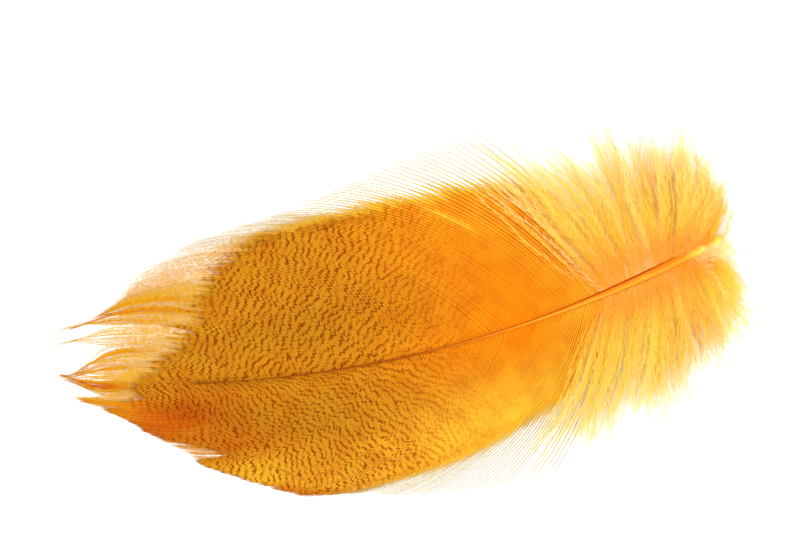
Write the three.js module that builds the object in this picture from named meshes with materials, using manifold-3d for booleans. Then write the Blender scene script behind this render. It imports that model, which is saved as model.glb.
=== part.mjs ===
// A duck's flank feather, 90 mm long, lying on its hollow underside with the outer face up.
// One solid: a bowed shaft, a vane that runs round the end of the shaft in pointed locks,
// and downy tufts on both sides of the quill.
//
// X runs along the feather from the tip (-) to the quill end (+), Y across it, Z up.
// A barb is placed by its station: the distance of its root from the shaft's fine end,
// measured along X, negative on the +Y side and positive on the -Y side.

import * as THREE from 'three';
import { mergeVertices } from 'three/addons/utils/BufferGeometryUtils.js';
import Module from 'manifold-3d';

const { lerp, smoothstep, clamp, degToRad } = THREE.MathUtils;

// Sizes in millimetres, before the whole is moved to stand over the origin.
const FEATHER_LENGTH = 90;
const QUILL_END_X = FEATHER_LENGTH / 2;
const SHAFT_TIP_X = -26.6;
const SHAFT_LENGTH = QUILL_END_X - SHAFT_TIP_X;
const SHAFT_OVERRUN = 0.8;

const BOW_DEPTH = 6.64;
const BOW_CENTRE_X = -1;
const BOW_PER_MM2 = 0.0032;
const ARCH_HEIGHT = 3.4;

const QUILL_RADIUS = 0.74;
const SHAFT_TIP_RADIUS = 0.3;
const TAPER_FROM_X = 36;
const TAPER_TO_X = 17;
const QUILL_POINT_LENGTH = 2.2;
const QUILL_POINT_RADIUS = 0.42;
const SHAFT_SIDES = 10;
const SHAFT_STEPS = 26;

const VANE_THICKNESS = 0.34;
const RIDGE_SHARE = 1.3;
const FURROW_SHARE = 0.75;
const ROOT_OFFSET = 0.12;
const DROOP_RUN = 15;
const VANE_STATION = 57;
const VANE_LOCKS = 45;
const VANE_STEPS = 8;
const LOCK_CROWDING = 0.8;

// The cleft between two locks, as a share of a barb's length.
const CLEFT_AT_TIP = 0.55;
const CLEFT_MIDDLE = 0.08;
const CLEFT_AT_DOWN = 0.3;
const CLEFT_SCATTER = [0.6, 1.2];
const LOCK_SHORTENING = 0.05;
const TIP_ZONE = 15;
const DOWN_ZONE_FROM = 34;

const TUFT_FROM_STATION = 52;
const TUFT_TO_STATION = 68;
const TUFTS_PER_SIDE = 12;
const TUFT_SIDES = 6;
const TUFT_STEPS = 8;
const TUFT_HALF_WIDTH = 2;
const TUFT_LEAST_WIDTH = 0.8;
const TUFT_WIDTH_SHARE = 0.085;
const TUFT_FLATNESS = 0.45;
const TUFT_END_SHARE = 0.12;
const TUFT_ROOT_PHASE = 0.12;
const TUFT_LENGTH_SCATTER = [0.9, 1];
const TUFT_LAYERS = [1, 0.25];
const TUFT_RISE = 3.4;
const TUFT_WAVE = 0.7;
const TUFT_WAVES = 1.6;
const TUFT_TIP_HEIGHT = 1.1;

const LEAST_TURN = 0.1;

const AFTERFEATHER_TUFTS = [
  { station: 68.4, heading: -150, turn: 18, length: 7.5 },
  { station: 68.9, heading: -172, turn: 12, length: 6.5 },
];

// Where the middle of the feather's box lies, so that the part can stand over the origin.
const BOX_CENTRE_X = 1.85;
const BOX_CENTRE_Y = -2.52;

// How the barbs lie: station, heading at the root, heading at the tip, length.
// A heading of 0 degrees points straight to the feather's tip, and +90 to +Y.
const BARB_GUIDES = [
  { station: -68.2, root: 134, tip: 128, length: 9 },
  { station: -66.8, root: 120, tip: 112, length: 14.5 },
  { station: -64.5, root: 108, tip: 96, length: 21 },
  { station: -61.6, root: 93, tip: 74, length: 23.5 },
  { station: -58.5, root: 79, tip: 54, length: 26.5 },
  { station: -55, root: 69, tip: 36, length: 30.5 },
  { station: -50.7, root: 62, tip: 21, length: 34.5 },
  { station: -45.8, root: 58, tip: 9, length: 38.5 },
  { station: -40.3, root: 56, tip: 0, length: 43.5 },
  { station: -33.4, root: 55, tip: -3, length: 43.5 },
  { station: -26.6, root: 54, tip: -4, length: 41 },
  { station: -19.9, root: 51, tip: -4, length: 38.5 },
  { station: -13.2, root: 46, tip: -5, length: 33.8 },
  { station: -6.6, root: 34, tip: -4, length: 25.5 },
  { station: 0, root: 10, tip: 9, length: 19 },
  { station: 6.6, root: -18, tip: 18, length: 19.5 },
  { station: 13.2, root: -34, tip: 22, length: 23 },
  { station: 19.9, root: -46, tip: 22, length: 27.5 },
  { station: 26.6, root: -54, tip: 20, length: 32 },
  { station: 33.4, root: -58, tip: 14, length: 34.5 },
  { station: 40.3, root: -60, tip: 7, length: 37 },
  { station: 45.8, root: -62, tip: 0, length: 36 },
  { station: 50.7, root: -66, tip: -14, length: 33.5 },
  { station: 55, root: -70, tip: -36, length: 28.5 },
  { station: 58.5, root: -75, tip: -56, length: 25 },
  { station: 61.6, root: -81, tip: -72, length: 23.5 },
  { station: 64.5, root: -89, tip: -88, length: 20 },
  { station: 66.8, root: -106, tip: -106, length: 16 },
  { station: 68.2, root: -123, tip: -123, length: 9.5 },
];

const FEATHER_COLOUR = 0xe08a1e;

const wasm = await Module();
wasm.setup();

// A repeatable value from 0 to 1, so that no two locks are quite alike.
function scatter(number) {
  const turned = Math.sin(number * 12.9898 + 4.137) * 43758.5453;
  return turned - Math.floor(turned);
}

function solidOf(geometry) {
  geometry.deleteAttribute('normal');
  geometry.deleteAttribute('uv');
  const merged = mergeVertices(geometry);
  const vertProperties = new Float32Array(merged.attributes.position.array);
  const triVerts = new Uint32Array(merged.index.array);
  return new wasm.Manifold(new wasm.Mesh({ numProp: 3, vertProperties, triVerts }));
}

// Moves each vertex of a box or cylinder of unit size to its place in the feather.
function reshape(geometry, place) {
  const corners = geometry.attributes.position;
  const corner = new THREE.Vector3();
  for (let i = 0; i < corners.count; i += 1) {
    const placed = place(corner.fromBufferAttribute(corners, i));
    corners.setXYZ(i, placed.x, placed.y, placed.z);
  }
  return geometry;
}

function shaftRadius(x) {
  const pointed = smoothstep(QUILL_END_X - x, 0, QUILL_POINT_LENGTH);
  const thick = lerp(QUILL_POINT_RADIUS, QUILL_RADIUS, pointed);
  return lerp(SHAFT_TIP_RADIUS, thick, smoothstep(x, TAPER_TO_X, TAPER_FROM_X));
}

function shaftPoint(x) {
  const y = BOW_PER_MM2 * (x - BOW_CENTRE_X) ** 2 - BOW_DEPTH;
  const share = clamp((x - SHAFT_TIP_X) / SHAFT_LENGTH, 0, 1);
  const z = ARCH_HEIGHT * Math.sin(Math.PI * share) + shaftRadius(x);
  return new THREE.Vector3(x, y, z);
}

function guideAt(station) {
  const last = BARB_GUIDES.length - 1;
  const found = BARB_GUIDES.findIndex((guide) => guide.station >= station);
  const upper = found < 0 ? last : Math.max(found, 1);
  const before = BARB_GUIDES[upper - 1];
  const after = BARB_GUIDES[upper];
  const share = (station - before.station) / (after.station - before.station);
  return {
    root: lerp(before.root, after.root, share),
    tip: lerp(before.tip, after.tip, share),
    length: lerp(before.length, after.length, share),
  };
}

// A barb is an arc: its heading turns evenly from root to tip, by at least a hair.
function arcPoint(root, heading, turn, distance) {
  const from = degToRad(heading);
  const bend = degToRad(Math.abs(turn) < LEAST_TURN ? LEAST_TURN : turn);
  const x = root.x - distance * (Math.sin(from + bend) - Math.sin(from)) / bend;
  const y = root.y + distance * (Math.cos(from) - Math.cos(from + bend)) / bend;
  return new THREE.Vector3(x, y, root.z);
}

function barbRoot(station) {
  const root = shaftPoint(SHAFT_TIP_X + Math.abs(station));
  root.y -= ROOT_OFFSET * clamp(station, -1, 1);
  return root;
}

function barbPoint(station, along) {
  const guide = guideAt(station);
  const root = barbRoot(station);
  const turn = (guide.tip - guide.root) * along;
  const point = arcPoint(root, guide.root, turn, guide.length * along);
  point.z = (root.z - VANE_THICKNESS / 2) * (1 - smoothstep(guide.length * along, 0, DROOP_RUN));
  return point;
}

function makeShaft() {
  const tube = new THREE.CylinderGeometry(1, 1, 1, SHAFT_SIDES, SHAFT_STEPS);
  return solidOf(reshape(tube, (unit) => {
    const x = lerp(QUILL_END_X, SHAFT_TIP_X - SHAFT_OVERRUN, unit.y + 0.5);
    const centre = shaftPoint(x);
    const radius = shaftRadius(x);
    return new THREE.Vector3(x, centre.y + unit.x * radius, centre.z + unit.z * radius);
  }));
}

// How far the cleft beside a lock runs in from the edge, as a share of the barb's length.
function cleftDepth(station, lock) {
  const distance = Math.abs(station);
  const fromTip = lerp(CLEFT_AT_TIP, CLEFT_MIDDLE, smoothstep(distance, 0, TIP_ZONE));
  const towardDown = lerp(0, CLEFT_AT_DOWN, smoothstep(distance, DOWN_ZONE_FROM, VANE_STATION));
  return (fromTip + towardDown) * lerp(...CLEFT_SCATTER, scatter(lock));
}

// Locks grow wider towards the feather's tip. Share runs from -1 (+Y side) to 1 (-Y side).
function lockStation(share) {
  return VANE_STATION * Math.sign(share) * Math.abs(share) ** LOCK_CROWDING;
}

function makeVane() {
  const columns = VANE_LOCKS * 2;
  const sheet = new THREE.BoxGeometry(1, 1, 1, VANE_STEPS, columns, 1);
  return solidOf(reshape(sheet, (unit) => {
    const column = Math.round((unit.y + 0.5) * columns);
    const station = lockStation(2 * column / columns - 1);
    const isRidge = column % 2 === 1;
    const shortening = isRidge ? LOCK_SHORTENING * scatter(column) : cleftDepth(station, column);
    const point = barbPoint(station, (unit.x + 0.5) * (1 - shortening));
    if (unit.z > 0) {
      point.z += VANE_THICKNESS * (isRidge ? RIDGE_SHARE : FURROW_SHARE);
    }
    return point;
  }));
}

// A tuft is a flattened, wavy spindle that leaves the shaft along a barb and swells in the middle.
function makeTuft(root, heading, turn, length, layer) {
  const spindle = new THREE.CylinderGeometry(1, 1, 1, TUFT_SIDES, TUFT_STEPS);
  const halfWidth = clamp(length * TUFT_WIDTH_SHARE, TUFT_LEAST_WIDTH, TUFT_HALF_WIDTH);
  return solidOf(reshape(spindle, (unit) => {
    const along = unit.y + 0.5;
    const point = arcPoint(root, heading, turn * along, length * along);
    const facing = degToRad(heading + turn * along);
    const swell = lerp(TUFT_END_SHARE, 1, Math.sin(Math.PI * lerp(TUFT_ROOT_PHASE, 1, along)));
    const wave = TUFT_WAVE * along * Math.sin(2 * Math.PI * (TUFT_WAVES * along + scatter(length)));
    const side = unit.z * halfWidth * swell + wave;
    const lift = TUFT_RISE * layer * Math.sin(Math.PI * along);
    const body = unit.x * halfWidth * TUFT_FLATNESS * swell;
    const height = lerp(root.z, TUFT_TIP_HEIGHT, along) + lift + body;
    point.x += side * -Math.sin(facing);
    point.y += side * -Math.cos(facing);
    point.z = Math.max(height, 0);
    return point;
  }));
}

function makeTufts() {
  const tufts = [];
  for (const side of [-1, 1]) {
    for (let i = 0; i < TUFTS_PER_SIDE; i += 1) {
      const share = i / (TUFTS_PER_SIDE - 1);
      const station = side * lerp(TUFT_FROM_STATION, TUFT_TO_STATION, share);
      const guide = guideAt(station);
      const length = guide.length * lerp(...TUFT_LENGTH_SCATTER, scatter(i + side));
      const layer = TUFT_LAYERS[i % TUFT_LAYERS.length];
      tufts.push(makeTuft(barbRoot(station), guide.root, guide.tip - guide.root, length, layer));
    }
  }
  for (const tuft of AFTERFEATHER_TUFTS) {
    tufts.push(makeTuft(barbRoot(tuft.station), tuft.heading, tuft.turn, tuft.length, 0));
  }
  return tufts;
}

function makeFeather() {
  let solid = makeShaft().add(makeVane());
  for (const tuft of makeTufts()) {
    solid = solid.add(tuft);
  }
  const { vertProperties, triVerts } = solid.getMesh();
  const geometry = new THREE.BufferGeometry();
  geometry.setAttribute('position', new THREE.BufferAttribute(vertProperties, 3));
  geometry.setIndex(new THREE.BufferAttribute(triVerts, 1));
  geometry.translate(-BOX_CENTRE_X, -BOX_CENTRE_Y, 0);
  geometry.computeVertexNormals();
  const material = new THREE.MeshStandardMaterial({
    color: FEATHER_COLOUR,
    roughness: 0.7,
    metalness: 0,
  });
  const feather = new THREE.Mesh(geometry, material);
  feather.name = 'feather';
  return feather;
}

const group = new THREE.Group();
group.add(makeFeather());

export default group;
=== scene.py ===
# %% [markdown]
# # A dyed flank feather
# The real thing is one flank feather of a duck, 90 mm long and dyed golden orange. It lies flat on a
# white table with its outer face up. Everything on it grows from one rod: stiff barbs that hook into a
# barred vane, loose barbs at the edges, and down beside the quill. A smooth blade with barbs painted on it
# would be quick to make, but its edges and its side view would give it away. So each barb is made here as
# its own thin mesh, in the size and the place that the solid gives.

# %% Load the frame and keep its box
import math

import bpy
import numpy as np
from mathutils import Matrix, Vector


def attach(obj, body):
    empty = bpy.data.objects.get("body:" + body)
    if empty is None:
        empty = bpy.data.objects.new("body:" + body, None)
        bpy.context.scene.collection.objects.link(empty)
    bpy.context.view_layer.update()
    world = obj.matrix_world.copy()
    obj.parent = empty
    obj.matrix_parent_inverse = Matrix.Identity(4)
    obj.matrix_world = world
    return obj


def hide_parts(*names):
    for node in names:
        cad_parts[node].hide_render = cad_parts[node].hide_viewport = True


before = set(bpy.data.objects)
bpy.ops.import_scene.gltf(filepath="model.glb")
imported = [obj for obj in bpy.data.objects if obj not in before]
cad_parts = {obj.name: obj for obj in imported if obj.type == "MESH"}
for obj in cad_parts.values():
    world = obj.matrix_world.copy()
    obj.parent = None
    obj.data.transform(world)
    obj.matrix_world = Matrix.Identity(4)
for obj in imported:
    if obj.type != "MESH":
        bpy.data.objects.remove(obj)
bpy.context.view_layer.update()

MM = 0.001
VANE_SEED = 7
rng = np.random.default_rng(VANE_SEED)

# %% [markdown]
# ## Where things are on the feather
# A feather has no straight edge to measure from, so its chord serves: X from the tip to the quill end, Y
# across. All shapes below are worked out on it in millimetres. One small offset then moves a point into the
# frame, whose origin lies on the table under the middle of the solid's box. Shapes that start and stop
# softly need little mathematics: a smooth step and a blend do for nearly all of them.

# %% Small helpers
BOX_CENTRE = np.array([1.85, -2.52, 0.0])


def smooth(value, start, end):
    """0 before start, 1 after end, and a soft curve between."""
    share = np.clip((value - start) / (end - start), 0.0, 1.0)
    return share * share * (3.0 - 2.0 * share)


def window(value, opens, closes):
    """0, then 1 inside the window, then 0 again. Each soft side is a pair of its start and end."""
    return smooth(value, *opens) * (1.0 - smooth(value, *closes))


def blend(low, high, share):
    return low + (high - low) * share


def unit(vectors):
    return vectors / np.maximum(np.linalg.norm(vectors, axis=-1, keepdims=True), 1e-9)


print("a quarter of the way through a smooth step it is at", smooth(0.25, 0.0, 1.0))

# %% [markdown]
# ## The shaft's line
# The shaft bows sideways in the photograph and arches over the table, as a flank feather wraps the body.
# It could be drawn as a curve by hand, but every barb has to start on it, so a formula is handier. A
# parabola gives the bow and half a sine wave the arch. Both repeat the solid's own values.

# %% The line that everything grows from
QUILL_END_X = 45.0
SHAFT_TIP_X = -26.6
BOW_DEPTH = 6.64
BOW_CENTRE_X = -1.0
BOW_PER_MM2 = 0.0032
ARCH_HEIGHT = 3.4
FINE_END_HEIGHT = 0.3
QUILL_HEIGHT = 0.74
QUILL_THICKENS = (17.0, 36.0)


def shaft_bow(x):
    return BOW_PER_MM2 * (x - BOW_CENTRE_X) ** 2 - BOW_DEPTH


def shaft_height(x):
    """Height of the shaft's middle line: the arch, and the rod's own thickness that it rests on."""
    share = np.clip((x - SHAFT_TIP_X) / (QUILL_END_X - SHAFT_TIP_X), 0.0, 1.0)
    rod = blend(FINE_END_HEIGHT, QUILL_HEIGHT, smooth(x, *QUILL_THICKENS))
    return ARCH_HEIGHT * np.sin(np.pi * share) + rod


print("shaft's height at the quill's end in mm", round(float(shaft_height(QUILL_END_X)), 2))

# %% [markdown]
# ## How the barbs lie
# A barb leaves the shaft at a wide angle and turns towards the feather's tip. It is close to an arc, so
# four numbers give one barb: where its root is, its heading there, its heading at its end, and its length.
# All 334 could be drawn by hand, but slowly. A short table of guides, with blending between them, gives
# every barb on both sides. Stations count from the shaft's fine end in mm, negative on the +Y side, which is
# the upper one in the picture.

# %% Guides for the barbs, as in the solid: station, heading at the root and at the end, length
GUIDES = np.array([
    (-68.2, 134, 128, 9), (-66.8, 120, 112, 14.5), (-64.5, 108, 96, 21), (-61.6, 93, 74, 23.5),
    (-58.5, 79, 54, 26.5), (-55, 69, 36, 30.5), (-50.7, 62, 21, 34.5), (-45.8, 58, 9, 38.5),
    (-40.3, 56, 0, 43.5), (-33.4, 55, -3, 43.5), (-26.6, 54, -4, 41), (-19.9, 51, -4, 38.5),
    (-13.2, 46, -5, 33.8), (-6.6, 34, -4, 25.5), (0, 10, 9, 19), (6.6, -18, 18, 19.5),
    (13.2, -34, 22, 23), (19.9, -46, 22, 27.5), (26.6, -54, 20, 32), (33.4, -58, 14, 34.5),
    (40.3, -60, 7, 37), (45.8, -62, 0, 36), (50.7, -66, -14, 33.5), (55, -70, -36, 28.5),
    (58.5, -75, -56, 25), (61.6, -81, -72, 23.5), (64.5, -89, -88, 20), (66.8, -106, -106, 16),
    (68.2, -123, -123, 9.5),
])
ROOT_OFFSET = 0.12
DROOP_RUN = 15.0
LEAST_TURN = 1e-3


def guide(station):
    return [np.interp(station, GUIDES[:, 0], GUIDES[:, column]) for column in (1, 2, 3)]


def barb_points(station, along):
    """Points on barbs, in chord millimetres. Along runs from 0 at the root to 1 at the end."""
    root, end, length = guide(station)
    start = np.radians(root)
    turn = np.radians((end - root) * along)
    turn = np.where(np.abs(turn) < LEAST_TURN, LEAST_TURN, turn)
    reach = length * along
    root_x = SHAFT_TIP_X + np.abs(station)
    x = root_x - reach * (np.sin(start + turn) - np.sin(start)) / turn
    y = shaft_bow(root_x) - ROOT_OFFSET * np.clip(station, -1, 1)
    y = y + reach * (np.cos(start) - np.cos(start + turn)) / turn
    z = shaft_height(root_x) * (1.0 - smooth(reach, 0.0, DROOP_RUN))
    return np.stack([x, y, z], axis=-1)


print("longest barb in mm", GUIDES[:, 3].max())

# %% [markdown]
# ## From rows of points to a mesh
# Thousands of fine barbs share two forms. A barb's rib is a closed tube swept along its path, wide where its
# barbules hook into the next barb. A barbule is a flat strip. Hair curves would be easier, but they don't
# stay as mesh, and adding tubes one by one is slow. So arrays of points for a whole set of barbs are turned
# into one mesh at once. Each barb gets its own band of the flat map, so its pattern can be baked without
# overlaps.

# %% Faces of tubes and strips
def tube_quads(barbs, rings, sides):
    """Quads round every tube and along it, as indices into points of shape (barbs, rings, sides)."""
    index = np.arange(barbs * rings * sides).reshape(barbs, rings, sides)
    across = np.roll(index, -1, axis=2)
    quads = np.stack([index[:, :-1], across[:, :-1], across[:, 1:], index[:, 1:]], axis=-1)
    return quads.reshape(-1, 4)


def strip_quads(strips, steps):
    index = np.arange(strips * steps * 2).reshape(strips, steps, 2)
    quads = np.stack([index[:, :-1, 0], index[:, :-1, 1], index[:, 1:, 1], index[:, 1:, 0]], axis=-1)
    return quads.reshape(-1, 4)


def tube_map(barbs, rings, sides, share=1.0):
    """Flat places of the corners of tube_quads. Each barb has a band, and its sides fill a share of it."""
    b, n, k = np.meshgrid(np.arange(barbs), np.arange(rings - 1), np.arange(sides), indexing="ij")
    left, right = n / (rings - 1), (n + 1) / (rings - 1)
    low, high = (b + share * k / sides) / barbs, (b + share * (k + 1) / sides) / barbs
    corners = [(left, low), (left, high), (right, high), (right, low)]
    return np.stack([np.stack(corner, axis=-1) for corner in corners], axis=-2).reshape(-1, 2)


# %% Sweep a profile along many paths
UP = np.array([0.0, 0.0, 1.0])


def sweep(paths, half_width, half_height, profile, tilt=0.0):
    """Rings of a flat profile along many paths. Profile points are (across, up) in half sizes."""
    ahead = unit(np.gradient(paths, axis=1))
    side = unit(np.cross(UP, ahead))
    top = np.cross(ahead, side)
    side, top = side + tilt * top, top - tilt * side
    across = profile[None, None, :, 0, None] * half_width[..., None, None]
    upward = profile[None, None, :, 1, None] * half_height[..., None, None]
    return paths[:, :, None] + across * side[:, :, None] + upward * top[:, :, None]


# %% Make one piece of the feather
def make_piece(name, points, quads, uv, values, material):
    """One mesh from arrays. Values are named numbers for each point, which the material reads."""
    mesh = bpy.data.meshes.new(name)
    places = (points.reshape(-1, 3) - BOX_CENTRE) * MM
    mesh.vertices.add(len(places))
    mesh.vertices.foreach_set("co", places.ravel())
    mesh.loops.add(quads.size)
    mesh.loops.foreach_set("vertex_index", quads.ravel())
    mesh.polygons.add(len(quads))
    mesh.polygons.foreach_set("loop_start", np.arange(0, quads.size, 4))
    mesh.update(calc_edges=True)
    flat = mesh.uv_layers.new(name="OFBake")
    flat.data.foreach_set("uv", np.clip(uv, 0.0, 1.0).astype(np.float32).ravel())
    for label, numbers in values.items():
        is_place = numbers.ndim > 1
        layer = mesh.attributes.new(label, "FLOAT_VECTOR" if is_place else "FLOAT", "POINT")
        layer.data.foreach_set("vector" if is_place else "value", numbers.astype(np.float32).ravel())
    mesh.polygons.foreach_set("use_smooth", np.ones(len(quads), bool))
    mesh.materials.append(material)
    piece = bpy.data.objects.new(name, mesh)
    bpy.context.scene.collection.objects.link(piece)
    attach(piece, "root")
    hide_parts("feather")
    print(name, "triangles", 2 * len(quads))


# %% [markdown]
# ## Nodes for the finishes
# A finish on the feather is layer over layer: a base colour, and layers that show only where some number on
# the mesh is high. Most layers are dyes, and a few are painted highlight and painted shade. Nodes could be
# placed by hand in the editor, but a script is easier to read and repeat. The helpers add one node at a time
# with its values, and the last one lays the layers over each other. The studio light is brighter than a white
# table needs, as in the photograph, so every dye is set that much darker than it looks.

# %% Colours as the studio shows them
STUDIO_BRIGHTNESS = 1.4
BRIGHTEST_DYE = 0.97


def colour(red, green, blue, glow=1.0):
    """A colour as seen in the studio, 0 to 255, as shaders need it. Glow is for what shades itself."""
    shares = [value / 255.0 for value in (red, green, blue)]
    linear = [s / 12.92 if s <= 0.04045 else ((s + 0.055) / 1.055) ** 2.4 for s in shares]
    scale = min(glow / STUDIO_BRIGHTNESS, BRIGHTEST_DYE / max(linear))
    return [value * scale for value in linear] + [1.0]


print("middle grey for the shader", round(colour(128, 128, 128)[0], 3))


# %% Node helpers
class Finish:
    """A material and the few kinds of node that the feather's finishes are made of."""

    def __init__(self, name, roughness, shine):
        self.material = bpy.data.materials.new(name)
        self.material.use_nodes = True
        self.tree = self.material.node_tree
        self.shader = self.tree.nodes["Principled BSDF"]
        self.shader.inputs["Roughness"].default_value = roughness
        self.shader.inputs["Specular IOR Level"].default_value = shine

    def add(self, kind, inputs=None, **settings):
        node = self.tree.nodes.new(kind)
        for key, value in settings.items():
            setattr(node, key, value)
        for key, value in (inputs or {}).items():
            if isinstance(value, bpy.types.NodeSocket):
                self.tree.links.new(value, node.inputs[key])
            else:
                node.inputs[key].default_value = value
        return node

    def value(self, name):
        return self.add("ShaderNodeAttribute", attribute_name=name).outputs["Fac"]

    def place(self, name):
        return self.add("ShaderNodeAttribute", attribute_name=name).outputs["Vector"]

    def maths(self, operation, first, second=0.0):
        return self.add("ShaderNodeMath", {0: first, 1: second}, operation=operation).outputs[0]

    def times(self, first, *others):
        for other in others:
            first = self.maths("MULTIPLY", first, other)
        return first

    def ramp(self, value, start, end, low=0.0, high=1.0):
        inputs = {"Value": value, "From Min": start, "From Max": end, "To Min": low, "To Max": high}
        node = self.add("ShaderNodeMapRange", inputs, interpolation_type="SMOOTHSTEP")
        return node.outputs["Result"]

    def mix(self, share, first, second):
        inputs = {"Factor": share, 6: first, 7: second}
        return self.add("ShaderNodeMix", inputs, data_type="RGBA").outputs[2]

    def noise(self, place, scale, detail=2.0):
        node = self.add("ShaderNodeTexNoise", {"Vector": place, "Scale": scale, "Detail": detail})
        return node.outputs["Fac"]

    def paint(self, base, layers):
        """Lay colours over a base colour: dyes, and some painted highlight and shade. Each layer is the share
        in which it shows, and its tint.
        """
        for share, tint in layers:
            base = self.mix(share, base, tint)
        self.tree.links.new(base, self.shader.inputs["Base Color"])
        print(self.material.name, "layers of dye", len(layers))


# %% [markdown]
# ## The camera, the table and the light
# The photograph looks straight down, with the feather's chord turned 12 degrees. The picture is 800 wide,
# and one pixel is 0.1324 mm on the feather, which gives the height of a 100 mm lens. A single lamp would
# draw hard shadows. A white table, a white world and two large soft lights, both high up, keep them as
# faint as in the picture.

# %% Camera
PIXEL_MM = 0.132435
CHORD_TURN = math.radians(11.8887)
PICTURE_WIDTH = 800
LENS_MM = 100.0
SENSOR_MM = 36.0
PICTURE_CENTRE = (2.48, 5.03)
NEAREST_SEEN = 0.01

camera_data = bpy.data.cameras.new("camera")
camera_data.lens = LENS_MM
camera_data.sensor_width = SENSOR_MM
camera_data.clip_start = NEAREST_SEEN
camera = bpy.data.objects.new("camera", camera_data)
bpy.context.scene.collection.objects.link(camera)
height_mm = PICTURE_WIDTH * PIXEL_MM * LENS_MM / SENSOR_MM
camera.location = [(value - centre) * MM for value, centre in
                   zip((*PICTURE_CENTRE, height_mm), (*BOX_CENTRE[:2], 0.0))]
camera.rotation_euler = (0.0, 0.0, -CHORD_TURN)
bpy.context.scene.camera = camera
print("camera height in mm", round(height_mm, 1))

# %% Table
TABLE_SIZE = 3.0
TABLE_DROP = 0.00002
TABLE_WHITE = (0.93, 0.93, 0.93, 1.0)

bpy.ops.mesh.primitive_plane_add(size=TABLE_SIZE, location=(0.0, 0.0, -TABLE_DROP))
table = bpy.context.object
table.name = "table"
white = Finish("white_table", roughness=0.6, shine=0.2)
white.shader.inputs["Base Color"].default_value = TABLE_WHITE
table.data.materials.append(white.material)

# %% Light and world
LIGHT_SIZE = 0.9
WORLD_WHITE = (1.0, 1.0, 1.0, 1.0)
WORLD_STRENGTH = 1.02


def soft_light(name, place, watts):
    lamp = bpy.data.lights.new(name, "AREA")
    lamp.shape = "SQUARE"
    lamp.size = LIGHT_SIZE
    lamp.energy = watts
    holder = bpy.data.objects.new(name, lamp)
    holder.location = place
    holder.rotation_euler = (-Vector(place)).to_track_quat("-Z", "Y").to_euler()
    bpy.context.scene.collection.objects.link(holder)
    print(name, "watts", watts)


soft_light("key_light", (-0.28, 0.22, 1.0), 6.5)
soft_light("fill_light", (0.4, -0.28, 0.92), 2.95)
world = bpy.data.worlds.new("studio")
world.use_nodes = True
background = world.node_tree.nodes["Background"]
background.inputs["Color"].default_value = WORLD_WHITE
background.inputs["Strength"].default_value = WORLD_STRENGTH
bpy.context.scene.world = world
bpy.context.scene.view_settings.view_transform = "Standard"

# %% [markdown]
# ## Locks
# Barbs at the edge draw together into pointed locks, with clefts between them, as the solid has them. One
# blade for each lock would be simpler, but then the barbs in it couldn't part. So each barb finds the lock
# whose middle is nearest, and slides towards that middle near its end. At the feather's tip the locks are
# long, thin and hooked. Along the vane they only roughen the edge.

# %% Which lock a barb belongs to
VANE_STATION = 57.0
VANE_LOCKS = 45
LOCK_CROWDING = 0.8


def lock_number(station):
    share = np.sign(station) * (np.abs(station) / VANE_STATION) ** (1.0 / LOCK_CROWDING)
    return np.round(share * VANE_LOCKS / 2.0)


def lock_middle(number):
    share = np.clip(2.0 * number / VANE_LOCKS, -1.0, 1.0)
    return VANE_STATION * np.sign(share) * np.abs(share) ** LOCK_CROWDING


print("station of the tenth lock in mm", round(float(lock_middle(10)), 1))

# %% How far a barb is drawn into its lock
TIP_STARTS = (-21.5, -17.0)
TIP_STOPS = (0.8, 5.0)
CLEFT_SHARE = 0.1
DEEPER_AT_TIP = 0.14
DEEPER_OUTWARD = 0.1
DEEPER_STATIONS = (34.0, 50.0)
VANE_DRAW = 0.03
TIP_DRAW = 0.91
POINT_SHARE = 0.07


def at_tip(station):
    """1 where the locks are long and hooked, 0 along both vanes."""
    return window(station, TIP_STARTS, TIP_STOPS)


def lock_draw(station, along):
    """How far a barb has slid to its lock's middle, 0 to 1."""
    tip = at_tip(station)
    cleft = CLEFT_SHARE + DEEPER_AT_TIP * tip + DEEPER_OUTWARD * smooth(np.abs(station), *DEEPER_STATIONS)
    strength = VANE_DRAW + TIP_DRAW * tip
    return strength * smooth(along, 1.0 - cleft, 1.0 - POINT_SHARE * tip)


# %% The hooked locks at the tip: sideways hook in mm, length as a share, warmth of the dye
TIP_LOCKS = {
    -12: (0.2, 1.0, 0.0), -11: (0.5, 1.0, 0.0), -10: (0.8, 1.0, 0.0), -9: (1.1, 0.99, 0.0),
    -8: (1.4, 0.98, 0.0), -7: (1.7, 0.97, 0.0), -6: (1.9, 0.96, 0.35), -5: (1.1, 1.02, 0.6),
    -4: (-0.3, 1.02, 0.25), -3: (-0.2, 1.04, 0.0), -2: (2.5, 1.0, 0.3), -1: (0.5, 1.03, 0.3),
    0: (-1.9, 1.0, 1.0), 1: (-0.4, 1.12, 0.5), 2: (-0.3, 1.1, 0.3), 3: (-0.2, 1.07, 0.3),
    4: (0.0, 1.05, 0.0), 5: (0.1, 1.03, 0.0),
}
PLAIN_LOCK = (0.0, 1.0, 0.0)
HOOK, LENGTH, WARMTH = range(3)


def tip_lock(number, column):
    """Hook, length or warmth of each barb's lock."""
    return np.vectorize(lambda lock: TIP_LOCKS.get(int(lock), PLAIN_LOCK)[column], otypes=[float])(number)


print("locks with a shape of their own", len(TIP_LOCKS), "of", VANE_LOCKS)

# %% [markdown]
# ## Where the web ends
# Barbules hook a barb to its neighbours along its inner part only. Past that the barb is a free fibre and
# the white table shows between barbs. That is so for half the length at the tip, about a third of it along
# the upper edge, and half or more of it where the vane turns to down, but most of the lower edge is webbed
# to its rim. No formula follows that, so a table gives the hooked share at some stations, with straight runs
# between. A share over 1 is a barb that is hooked to its very end.

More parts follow.
